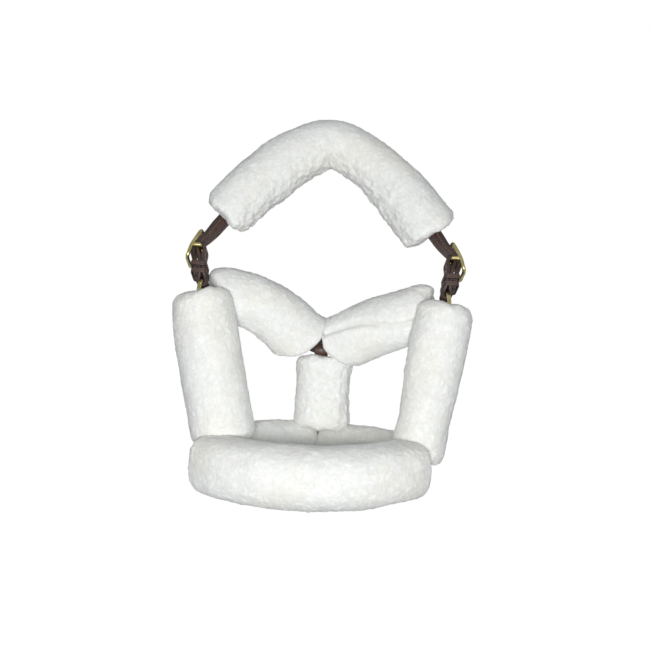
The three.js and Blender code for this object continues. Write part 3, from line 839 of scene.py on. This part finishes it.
def folded_strap(part, route, body, node, layer=LAYER, eyes=(WIRE_R, WIRE_R), tapers=(True, True),
                 bends=(1, 1)):
    """A strap doubled back round a wire at both ends, as one closed ribbon.

    eyes are the radii of the wires, tapers says where it narrows, and bends where the wire is
    a ring's, which the fold follows.
    """
    reach = [r + 0.3 * MM + layer / 2 for r in eyes]
    rest = layer / 2 + 0.05 * MM
    length = route.length

    def gap(s):
        start = rest + (reach[0] - rest) * (1 - smooth(s, 0, FOLD_SPREAD))
        end = rest + (reach[1] - rest) * (1 - smooth(length - s, 0, FOLD_SPREAD))
        return np.maximum(start, end)

    run = np.linspace(0, length, max(12, int(length / (3 * MM))))
    turn = np.radians(np.linspace(0, 180, 11)[1:-1])
    around_end = np.stack([length + reach[1] * np.sin(turn), reach[1] * np.cos(turn)], axis=-1)
    around_start = np.stack([-reach[0] * np.sin(turn), -reach[0] * np.cos(turn)], axis=-1)
    there = np.stack([run, gap(run)], axis=-1)
    back = np.stack([run, -gap(run)], axis=-1)[::-1]
    path = np.vstack([there, around_end, back, around_start])
    s, n = path.T
    centre, _, wide, off = route.frame(s)
    line = centre + off * n[:, None]
    half = full_width(s)
    if tapers[0]:
        half = np.minimum(half, narrowed(s))
    if tapers[1]:
        half = np.minimum(half, narrowed(length - s))
    section = strap_section(layer / 2)
    rings = ribbon_rings(line, wide, half, section)
    straight = unit(route.at(s + MM) - route.at(s - MM))
    w = ((rings - line[:, None]) * wide[:, None]).sum(axis=-1)
    sag = RING_R - np.sqrt(RING_R**2 - np.minimum(np.abs(w), 0.9 * RING_R) ** 2)
    pull = bends[1] * (1 - smooth(length - s, 2 * MM, 16 * MM)) - bends[0] * (1 - smooth(s, 2 * MM, 16 * MM))
    rings = rings + straight[:, None] * (sag * pull[:, None])[..., None]
    return place(leather(part + "_leather", rings, section), body, "leather", node)


def capsules(name, centres, along, off, long, wide):
    """Many small stitches as one mesh: long ellipsoids at the centres, lying along a direction."""
    turn, rise = np.radians(np.arange(0, 360, 60)), np.radians((-90, -45, 0, 45, 90))
    side = np.cross(along, off)
    points = []
    for a in rise:
        for b in turn:
            reach = np.sin(a) * long / 2
            thick = max(math.cos(a), 0.05) * wide / 2
            aside = centres + along * reach + side * (math.cos(b) * thick)
            points.append(aside + off * (math.sin(b) * thick))
    points = np.stack(points, axis=1)
    count = points.shape[1]
    own = tube_faces(len(rise), len(turn))
    faces = [tuple(v + k * count for v in f) for k in range(len(centres)) for f in own]
    obj = add_mesh(name, points.reshape(-1, 3), faces, THREAD)
    face_out(obj)
    return obj


STITCH_STEP = 3.1 * MM
STITCH_INSET = 3.3 * MM
STITCH_LONG = 2.5 * MM
STITCH_WIDE = 0.75 * MM
DOUBLED_STITCH = 3.05 * MM  # how far a doubled strap's stitches lie off its middle
CHAPE_STITCH = 4.3 * MM


def full_width(s):
    return np.full(np.shape(s), STRAP_WIDTH / 2)


def stitches(name, route, body, spans, half_thick, width=full_width):
    """Rows of stitches beside both edges and on both faces of a strap, over spans of distance."""
    s = np.concatenate([np.arange(a, b, STITCH_STEP) for a, b in spans])
    centre, along, wide, off = route.frame(s)
    places, ways, outs = [], [], []
    for side, face in itertools.product((1, -1), (1, -1)):
        w = side * (width(s) - STITCH_INSET)
        places.append(centre + wide * w[:, None] + off * (face * half_thick))
        ways.append(unit(along + wide * (0.16 * face)))
        outs.append(off * face)
    obj = capsules(name, *map(np.vstack, (places, ways, outs)), STITCH_LONG, STITCH_WIDE)
    place(obj, body, "closure")


def eye_stitches(name, route, body, bare=((9, 22), (9, 22))):
    """Stitching where a doubled strap shows between its eyes and its sleeve."""
    (a, b), (c, d) = bare
    spans = [(a * MM, b * MM), (route.length - d * MM, route.length - c * MM)]
    stitches(name, route, body, spans, DOUBLED_STITCH, lambda s: narrowed(np.minimum(s, route.length - s)))


TAPE_THICK = 1.6 * MM
TAPE_SPARE = 0.7 * MM
TAPE_INSET = 6 * MM
DOUBLED = 6 * MM  # the thickness of a doubled strap


def add_tape(node, body, route, start, end, strap_thick=DOUBLED, flip=1, width=20 * MM):
    """The hook-and-loop strip that lies on a strap inside its sleeve, as two thin layers."""
    s = np.linspace(start + TAPE_INSET, end - TAPE_INSET, max(8, int((end - start) / (5 * MM))))
    centre, _, wide, off = route.frame(s)
    middle = centre + off * (flip * (strap_thick / 2 + TAPE_SPARE + TAPE_THICK / 2))
    half = np.full(len(s), width / 2)
    section = strap_section(TAPE_THICK / 2, layers=2)
    section[:, 2] = np.clip(section[:, 2], -TAPE_THICK / 2, TAPE_THICK / 2)
    obj = tube(node + "_tape", strap_rings(middle, wide, off, half, section), TAPE)
    place(obj, body, "closure", node)


def add_tapes():
    route = headpiece_route()
    middle = route.length / 2
    add_tape("headpiece_closure", "headpiece", route, middle - 176 * MM, middle + 176 * MM, 5 * MM)
    route = throat_route()
    middle = route.length / 2
    for name, side in SIDES:
        start, end = sorted((middle - side * 19 * MM, middle - side * (middle - 38 * MM)))
        add_tape(name + "_throat_closure", "throat", route, start, end, 6.5 * MM, width=12 * MM)
        cheek, chin = cheek_route(side), chin_route(side)
        add_tape(name + "_cheek_closure", "cheeks", cheek, 12 * MM, cheek.length - 19 * MM, flip=side)
        add_tape(name + "_chin_closure", "noseband", chin, 14 * MM, chin.length - 12 * MM, flip=side)
    jaw, noseband = jaw_route(), noseband_route()
    add_tape("jaw_closure", "jaw", jaw, 18 * MM, jaw.length - 17 * MM)
    add_tape("noseband_closure", "noseband", noseband, 12 * MM, noseband.length - 12 * MM)


def cut(obj, cutters):
    """Takes the closed shapes away from obj."""
    for cutter in cutters:
        modifier = obj.modifiers.new("cut", "BOOLEAN")
        modifier.operation = "DIFFERENCE"
        modifier.solver = "EXACT"
        modifier.object = cutter
    apply_modifiers(obj)
    for cutter in cutters:
        bpy.data.objects.remove(cutter)


def rod(name, a, b, radius, sides=20):
    """A round bar between two places."""
    way = unit(b - a)
    one = unit(np.cross(way, Z if abs(way[2]) < 0.9 else X))
    two = np.cross(way, one)
    turn = around_circle(sides)
    circle = (np.cos(turn)[:, None] * one + np.sin(turn)[:, None] * two) * radius
    return tube(name, np.stack([a + circle, b + circle]), LEATHER)


HOLE_STEP = 24.5 * MM
HOLE_R = 2.1 * MM
HOLE_REACH = 10 * MM  # of the tool that punches them
TIP = 10 * MM  # length of the strap's rounded tip
HEAD_HALF = 2.5 * MM  # half of the headpiece strap's thickness
SEWN_FROM = 12 * MM  # where its stitching starts, from the tip
SEWN_SHORT = 165 * MM  # and stops, from the middle


def add_headpiece_strap(route):
    ends = np.array((0, 0.25, 1, 2.5, 5, 8)) * MM
    s = np.concatenate([ends, np.linspace(TIP, route.length - TIP, 230), route.length - ends[::-1]])
    room = np.minimum(s, route.length - s)
    half = np.minimum(STRAP_WIDTH / 2, (5 + 7.5 * np.sqrt(np.clip(room / TIP, 0, 1))) * MM)
    centre, _, wide, off = route.frame(s)
    section = strap_section(HEAD_HALF, layers=2)
    rings = strap_rings(centre, wide, off, half, section)
    obj = leather("headpiece_leather", rings, section, closed=False)
    holes = []
    used = route.nearest(in_plane(TONGUE_CROSSING[0], 0, TONGUE_CROSSING[1]))
    for k in (-1, 0, 1, 2):
        s = used + k * HOLE_STEP
        for distance in (s, route.length - s):
            centre, _, _, off = route.frame(distance)
            holes.append(rod("hole", centre - off * HOLE_REACH, centre + off * HOLE_REACH, HOLE_R))
    cut(obj, holes)
    place(obj, "headpiece", "leather", "headpiece_strap")
    reach = route.length / 2 - SEWN_SHORT
    sewn = [(SEWN_FROM, reach), (route.length - reach, route.length - SEWN_FROM)]
    stitches("headpiece_stitching", route, "headpiece", sewn, HEAD_HALF)


def chape_route(side):
    low = in_plane(side * CHEEK_RING[0] / MM, 0, RING_R / MM)
    high = in_plane(side * BAR_X, 0, BAR_T)
    return Route([low, (low + high) / 2, high], fixed(WIDE_PLANE))


KEEPER_TALL = 3.2 * MM  # half of a keeper's height
KEEPER_WALL = 0.9 * MM  # half of its thickness
# In the headpiece's plane, in millimetres: where the keepers are, and half of their loop's size.
FIXED_KEEPER_T = 40.5
RUNNING_KEEPER_T = 30.5
KEEPER_X, KEEPER_W = 8.8, 14.0
KEEPER_ROUND = 3.2
KEEPER_OUT = 3.0  # how far outside the chape's middle the loop is centred


def add_keeper(name, side, t, body):
    """A flat leather loop round the chape and the tail."""
    lean = (BAR_X - CHEEK_RING[0] / MM) / (BAR_T - RING_R / MM)
    middle = CHEEK_RING[0] / MM + lean * (t - RING_R / MM) + KEEPER_OUT
    corners = []
    for start, cx, cw in ((0, 1, 1), (90, -1, 1), (180, -1, -1), (270, 1, -1)):
        for degrees in (0, 22, 45, 68, 90):
            a = math.radians(start + degrees)
            x = cx * (KEEPER_X - KEEPER_ROUND) + KEEPER_ROUND * math.cos(a)
            w = cw * (KEEPER_W - KEEPER_ROUND) + KEEPER_ROUND * math.sin(a)
            corners.append(in_plane(side * (middle + x), w, t))
    line = np.array(corners)
    wide = np.broadcast_to(UP_PLANE, line.shape)
    section = strap_section(KEEPER_WALL)
    section[:, 2] = np.clip(section[:, 2], -KEEPER_WALL, KEEPER_WALL)
    rings = ribbon_rings(line, wide, np.full(len(line), KEEPER_TALL), section)
    place(leather(name + "_leather", rings, section), body, "leather", name)


# Half of the jaw strap's upper loop, in millimetres across the throat strap and up from it.
JAW_LOOP = ((8, -7.4), (13.6, -6.2), (15.8, 0), (13.6, 6.2), (7, 7.6))
JAW_LOOP_TOP = (0, 7.7)
JAW_FOLD_R = 4.35 * MM  # of the fold round the lead ring
JAW_GAP = (1.55 * MM, 2.8 * MM)  # half of the gap between its layers, and what the ring adds
JAW_FULLER = 4 * MM  # what each side gains between these heights, inside the sleeve
JAW_WIDENS, JAW_NARROWS = (-0.330, -0.310), (-0.262, -0.245)
JAW_CURLS = (-0.341, -0.328)  # the heights between which its fold takes the lead ring's curve


def add_jaw_strap(route):
    """The jaw strap, doubled round the lead ring and opened into a loop for the throat strap."""
    across, up = THROAT_WIDE_LOW, np.cross(X, THROAT_WIDE_LOW)
    loop = [*JAW_LOOP, JAW_LOOP_TOP, *((-a, b) for a, b in reversed(JAW_LOOP))]
    loop = [THROAT_LOW + (across * a + up * b) * MM for a, b in loop]
    run = np.linspace(16 * MM, route.length, 14)
    gap = JAW_GAP[0] + JAW_GAP[1] * (1 - smooth(route.length - run, 0, FOLD_SPREAD))
    centre, along, _, off = route.frame(run)
    if off[0][1] < 0:
        off = -off
    turn = np.radians(np.linspace(0, 180, 9)[1:-1])
    fold = (along[-1] * math.sin(a) - off[-1] * math.cos(a) for a in turn)
    round_ring = [centre[-1] + JAW_FOLD_R * way for way in fold]
    points = [*(centre - off * gap[:, None]), *round_ring, *(centre + off * gap[:, None])[::-1], *loop]
    closed = np.array(points + points[:2])
    line = Route.spline(closed, 8 * len(closed))[4:]
    first = np.argmin(np.linalg.norm(line[len(line) // 2 :] - line[0], axis=1)) + len(line) // 2
    line = line[:first:3]
    height = line[:, 2]
    half = EYE_WIDTH / 2 + JAW_FULLER * smooth(height, *JAW_WIDENS) * (1 - smooth(height, *JAW_NARROWS))
    wide = np.broadcast_to(X, line.shape)
    section = strap_section(LAYER / 2)
    rings = ribbon_rings(line, wide, half, section)
    sag = RING_R - np.sqrt(RING_R**2 - rings[..., 0] ** 2)
    rings[..., 2] -= sag * (1 - smooth(height, *JAW_CURLS))[:, None]
    place(leather("jaw_leather", rings, section), "jaw", "leather", "jaw_strap")
    eye_stitches("jaw_stitching", route, "jaw", ((12, 24), (9, 20)))


# ---- brass


def wire(name, line, radius, closed=True, sides=16, flat=1.0):
    """Round brass wire along a line of places, closed into a loop or open."""
    line = np.asarray(line, float)
    radius = np.broadcast_to(radius, len(line)).astype(float)
    along = loop_way(line) if closed else unit(np.gradient(line, axis=0))
    one = unit(np.cross(along[0], along[len(line) // 3] + 0.01 * X + 0.02 * Z))
    turn = around_circle(sides)
    rings = []
    for centre, way, r in zip(line, along, radius):
        one = unit(one - way * one.dot(way))
        two = np.cross(way, one)
        rings.append(centre + r * (np.cos(turn)[:, None] * one * flat + np.sin(turn)[:, None] * two))
    return tube(name, np.array(rings), BRASS, wrap_rows=closed)


def add_ring(node, centre, across):
    """An upright ring, on the body of its own name, that lies along the direction across."""
    turn = around_circle(96)
    line = centre + RING_R * (np.cos(turn)[:, None] * across + np.sin(turn)[:, None] * Z)
    place(wire(node + "_brass", line, WIRE_R, sides=20), node, "brass", node)


def rounded_end(line, radius, taper=3):
    """The radii of an open wire whose two ends are rounded off."""
    k = np.arange(len(line))
    room = np.minimum(k, len(line) - 1 - k)
    return radius * np.sqrt(np.clip((room + 0.3) / taper, 0, 1))


FRAME_CORNER = ((1.6, 1.6), (0, 5))  # millimetres in from its side and along it
FRAME_R = 2.25 * MM
LUG_R = 2.7 * MM  # of the lugs that hold the bar
BAR_R = 2.0 * MM


def add_buckle(side_name, side):
    def put(x, w, t):
        return in_plane(side * x, w, t)

    (top_x, top_t), (low_x, low_t), mid_x = FRAME_TOP, FRAME_LOW, FRAME_MID_X
    lean = (low_x - top_x) / (top_t - low_t)
    inner = RAIL_W - 6
    loop = []
    for way in (1, -1):
        end_x, end_t = (top_x, top_t) if way > 0 else (low_x, low_t)
        loop += [put(end_x, way * w, end_t) for w in (-inner, 0, inner)]
        for w, d in FRAME_CORNER:
            loop.append(put(end_x + way * lean * d, way * (RAIL_W - w), end_t - way * d))
        loop.append(put(mid_x, way * RAIL_W, BAR_T))
        end_x, end_t = (low_x, low_t) if way > 0 else (top_x, top_t)
        for w, d in reversed(FRAME_CORNER):
            loop.append(put(end_x - way * lean * d, way * (RAIL_W - w), end_t + way * d))
    closed = np.array(loop[-2:] + loop + loop[:3])
    line = Route.spline(closed, 8 * (len(closed) - 1))[16 : 16 + 8 * len(loop)]
    parts = [wire("frame", line, FRAME_R)]
    for w in (-RAIL_W, RAIL_W):
        lug = [put(x, w, BAR_T) for x in (mid_x, mid_x - 4, BAR_X + 1, BAR_X - 1.6)]
        lug = Route.spline(np.array(lug), 16)
        parts.append(wire("lug", lug, rounded_end(lug, LUG_R), closed=False))
    bar = np.linspace(put(BAR_X, -RAIL_W, BAR_T), put(BAR_X, RAIL_W, BAR_T), 12)
    parts.append(wire("bar", bar, BAR_R, closed=False))
    name = side_name + "_buckle_frame"
    place(join(name + "_brass", parts), "headpiece", "brass", name)


TONGUE_EYE_R = 3.7  # millimetres, of the eye round the bar
TONGUE_R = 1.75 * MM
TONGUE_PRONG = (
    (BAR_X - 0.5, BAR_T + 3.9), (154.6, 70.6), (155.6, 75.6), (157.3, 81.4), (158.5, 86.2), (157.7, 89.4),
    (156.2, 91.6),
)


def add_tongue(side_name, side):
    """A tongue bent round the bar, whose tip lies over the frame's top."""
    turn = np.radians(np.linspace(-150, 110, 16))
    eye = [(BAR_X + TONGUE_EYE_R * math.cos(a), BAR_T + TONGUE_EYE_R * math.sin(a)) for a in turn]
    points = [in_plane(side * x, 0, t) for x, t in (*eye, *TONGUE_PRONG)]
    line = Route.spline(np.array(points), 110)
    thick = TONGUE_R * (1 - 0.25 * smooth(np.linspace(0, 1, len(line)), 0.6, 1))
    obj = wire(side_name + "_buckle_tongue_brass", line, rounded_end(line, thick, 4), closed=False, flat=1.15)
    place(obj, side_name + "_tongue", "brass", side_name + "_buckle_tongue")


# ---- floor and light


SKY_DIFFUSE = 0.2
SKY_GLOSSY = 0.5
FLOOR_DROP = 0.03  # metres below the lowest point
FLOOR_HALF = 30


def add_stage():
    low = CAD_BOX[0][2] - FLOOR_DROP
    corners = [(x * FLOOR_HALF, y * FLOOR_HALF, low) for x, y in ((-1, -1), (1, -1), (1, 1), (-1, 1))]
    floor = add_mesh("floor", corners, [(0, 1, 2, 3)], stage_material())
    floor.visible_diffuse = False
    floor.visible_glossy = False


def stage_material():
    n = Material("floor")
    n.set(Base_Color=(0.02, 0.02, 0.02, 1), Roughness=1.0, Specular_IOR_Level=0.0)
    n.set(Emission_Color=(1, 1, 1, 1), Emission_Strength=1.0)
    return n.material


def add_light(name, place_at, aim, size, power, glossy=True):
    """A round light. One with glossy off leaves no glint along the edges of the leather."""
    data = bpy.data.lights.new(name, "AREA")
    data.shape = "DISK"
    data.size = size
    data.energy = power
    light = add_object(name, data)
    light.location = place_at
    light.rotation_euler = (Vector(place_at) - Vector(aim)).to_track_quat("Z", "Y").to_euler()
    light.visible_glossy = glossy


def add_world():
    """White behind the object, a dim sky for its diffuse light and a brighter one for reflections."""
    world = bpy.data.worlds.new("world")
    bpy.context.scene.world = world
    n = Nodes(world)
    seen = n.tree.nodes["Background"]
    n.give(seen, "Color", (1, 1, 1, 1))
    n.give(seen, "Strength", 1.0)
    path = n.add("LightPath").outputs
    strength = n.add("MapRange", Value=path["Is Glossy Ray"], To_Min=SKY_DIFFUSE, To_Max=SKY_GLOSSY)
    sky = n.add("Background", Color=(0.92, 0.96, 1.0, 1), Strength=strength.outputs["Result"])
    shaders = (path["Is Camera Ray"], sky.outputs["Background"], seen.outputs["Background"])
    mix = n.add("MixShader", enumerate(shaders))
    n.give(n.tree.nodes["World Output"], "Surface", mix.outputs["Shader"])


# ---- the headcollar


def add_crown():
    """The headpiece sleeve, which fills out and hangs in towards both of its ends."""
    route = headpiece_route()
    middle = route.length / 2
    radius = (38.5, 37.5, 35, 33.5, 33, 35.5, 37, 35.5, 33)
    shift = ((-1.4, -1, -2.3), (-1.4, -1, -2.3), (-1, -1, -1.6), (-1, 0, -1.2), (0, 0, 0))
    shift += ((0.6, 0, -0.7), (0.6, 0, -0.5), (-1.4, 0, 1), (-2, 0.6, 1.4))
    sleeve = Sleeve(route, middle - 187 * MM, middle + 181 * MM, radius, shift,
                    lean=((0.35, -0.1), (-0.35, 0.16)), seam=50, fray=(90, 70, 1))
    add_fleece("headpiece", "headpiece", sleeve, 11)


def add_noseband_sleeve():
    route = noseband_route()
    radius = (33, 34, 36, 36.5, 36, 35, 34)
    shift = [(-5.3, 0, rise) for rise in (7, 7, 5, 3, 3, 3, 3)]
    square = (3.2, 2.6, 2.1, 2.1, 2.1, 2.6, 3.2)
    sleeve = Sleeve(route, -2 * MM, route.length + 2 * MM, radius, shift, square=square, seam=160)
    add_fleece("noseband", "noseband", sleeve, 71)


def add_jaw_sleeve():
    route = jaw_route()
    sleeve = Sleeve(route, 5 * MM, route.length - 6 * MM, (38, 36, 35.5, 37), ((4.5, 0, 0),), seam=270,
                    fray=(0, 180, 0.8))
    add_fleece("jaw", "jaw", sleeve, 131)


# Each side's cheek sleeve: how far it runs past its strap's ends, and its stops.
CHEEKS = {
    "left": (-30, 2, (37, 39.5, 39.5, 39.5), ((6, 0, 0), (5, 0, 0), (6, 0, 0), (8.5, 0, 0))),
    "right": (-30, 10, (36, 36, 34, 32, 33.5), ((-6, 0, 0), (-4, 0, 0), (-1, 0, 0), (2, 0, 0), (4, 0, 0))),
}
CHINS = {"left": ((0, 0, 2),), "right": ((0, 0, 1),)}


def add_throat_sleeves():
    """Two sleeves that meet over the jaw strap's loop, mitred so that they part below it."""
    route = throat_route()
    middle = route.length / 2
    rise = ((0, 0, 2), (0, 0, 2), (0, 0, 1), (0, 0, 0), (0, 0, 1))
    left = Sleeve(route, middle + 16 * MM, route.length - 13 * MM, (39, 38.5, 36.5, 35, 34.5), rise,
                  lean=((0, 0.5), (0, 0)), seam=20, lip=9, fray=(90, 60, 1.2))
    add_fleece("left_throat", "throat", left, 431)
    right = Sleeve(route, 14 * MM, middle - 16 * MM, (34, 37, 38, 38, 36.5),
                   lean=((0, 0), (0, -0.6)), seam=238, lip=9, fray=(90, 50, 0.7))
    add_fleece("right_throat", "throat", right, 491)


def add_sleeves():
    add_crown()
    add_noseband_sleeve()
    add_jaw_sleeve()
    add_throat_sleeves()
    for k, (name, side) in enumerate(SIDES):
        before, past, radius, shift = CHEEKS[name]
        route = cheek_route(side)
        sleeve = Sleeve(route, before * MM, route.length + past * MM, radius, shift, seam=180, lip=14)
        add_fleece(name + "_cheek", "cheeks", sleeve, 191 + 60 * k)
        route = chin_route(side)
        lean = ((0, 0), (0, -side * 0.4))
        sleeve = Sleeve(route, 6 * MM, route.length + 12 * MM, (33, 34.5, 34.5), CHINS[name], lean, seam=180)
        add_fleece(name + "_chin", "noseband", sleeve, 311 + 60 * k)


def add_leather():
    add_headpiece_strap(headpiece_route(headpiece_across))
    folded_strap("noseband", noseband_route(), "noseband", "noseband_strap")
    eye_stitches("noseband_stitching", noseband_route(), "noseband")
    folded_strap("throat", throat_route(), "throat", "throat_strap")
    eye_stitches("throat_stitching", throat_route(), "throat", ((9, 34), (9, 34)))
    add_jaw_strap(jaw_route())
    chape_sewn = [(9 * MM, 30 * MM)]
    for name, side in SIDES:
        folded_strap(name + "_cheek", cheek_route(side), "cheeks", name + "_cheek_strap")
        folded_strap(name + "_chin", chin_route(side), "noseband", name + "_chin_strap")
        eye_stitches(name + "_chin_stitching", chin_route(side), "noseband")
        route = chape_route(side)
        chape = folded_strap(name + "_chape", route, "headpiece", name + "_chape", layer=CHAPE_LAYER,
                             eyes=(WIRE_R, BAR_R), tapers=(True, False), bends=(1, 0))
        cut(chape, [slit_block(side)])
        stitches(name + "_chape_stitching", route, "headpiece", chape_sewn, CHAPE_STITCH, narrowed)
        add_keeper(name + "_fixed_keeper", side, FIXED_KEEPER_T, "headpiece")
        add_keeper(name + "_running_keeper", side, RUNNING_KEEPER_T, name + "_running_keeper")


# The slit in each chape's fold, in millimetres about the bar.
SLIT_REACH, SLIT_HALF = 10, 3
SLIT_LOW, SLIT_HIGH = BAR_T - 9, BAR_T + 13


def slit_block(side):
    """The block that cuts the slit that the tongue moves in."""
    h = SLIT_HALF
    outline = ((-h, SLIT_LOW), (h, SLIT_LOW), (h, SLIT_HIGH), (-h, SLIT_HIGH))
    ends = (BAR_X - SLIT_REACH, BAR_X + SLIT_REACH)
    rings = [[in_plane(side * x, w, t) for w, t in outline] for x in ends]
    return tube("slit", np.array(rings), LEATHER)


def add_brass():
    for name, side in SIDES:
        add_ring(name + "_cheek_ring", mirrored(CHEEK_RING, side), Y)
        add_ring(name + "_noseband_ring", mirrored(NOSE_RING, side), Y)
        add_buckle(name, side)
        add_tongue(name, side)
    add_ring("lead_ring", LEAD_RING, X)


add_camera()
bpy.context.scene.view_settings.view_transform = "Standard"
add_leather()
add_tapes()
add_brass()
add_sleeves()
add_stage()
add_world()
add_light("key", (0.0, -1.6, -0.14), (0, -0.1, -0.22), 0.45, 19)
add_light("back", (0.0, 1.7, -0.05), (0, -0.1, -0.17), 1.2, 13, glossy=False)
